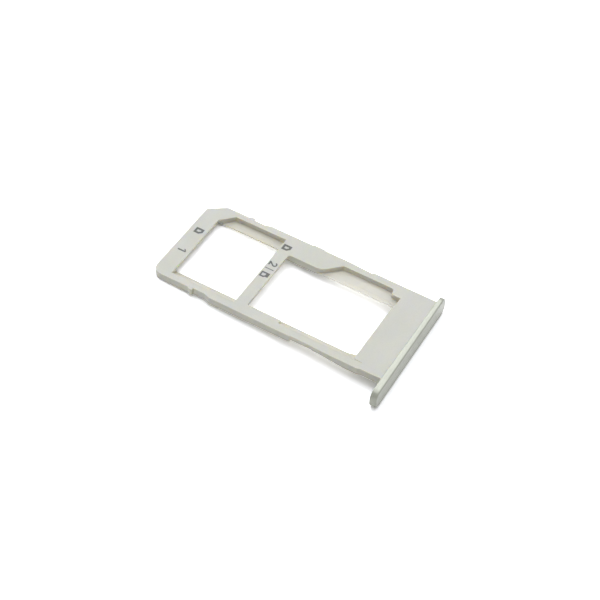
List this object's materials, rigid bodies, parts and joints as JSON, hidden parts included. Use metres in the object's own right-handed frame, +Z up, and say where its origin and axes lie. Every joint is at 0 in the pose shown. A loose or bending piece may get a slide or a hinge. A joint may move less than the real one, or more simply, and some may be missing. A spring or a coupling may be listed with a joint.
{
  "type": "memory card tray",
  "caption": "Thin rectangular card tray with stepped through pockets for nano-SIM and microSD cards, side catch notches and a taller rounded metal end bar.",
  "frame": {"origin": "centre of the bounding box in plan, on the plane the end bar's lowest edge touches", "axes": "+X along the tray towards the end bar, +Y across it towards the rail with the wide ledges, +Z up out of the open side of the card pockets"},
  "size_m": [0.0334, 0.0184, 0.0028],
  "materials": {
    "frame_plastic": "satin moulded, warm light grey",
    "bar_metal": "fine satin, silver, with a polished front edge"
  },
  "bodies": {
    "root": {"tray_frame": "frame_plastic", "head_bar": "bar_metal"}
  },
  "joints": []
}
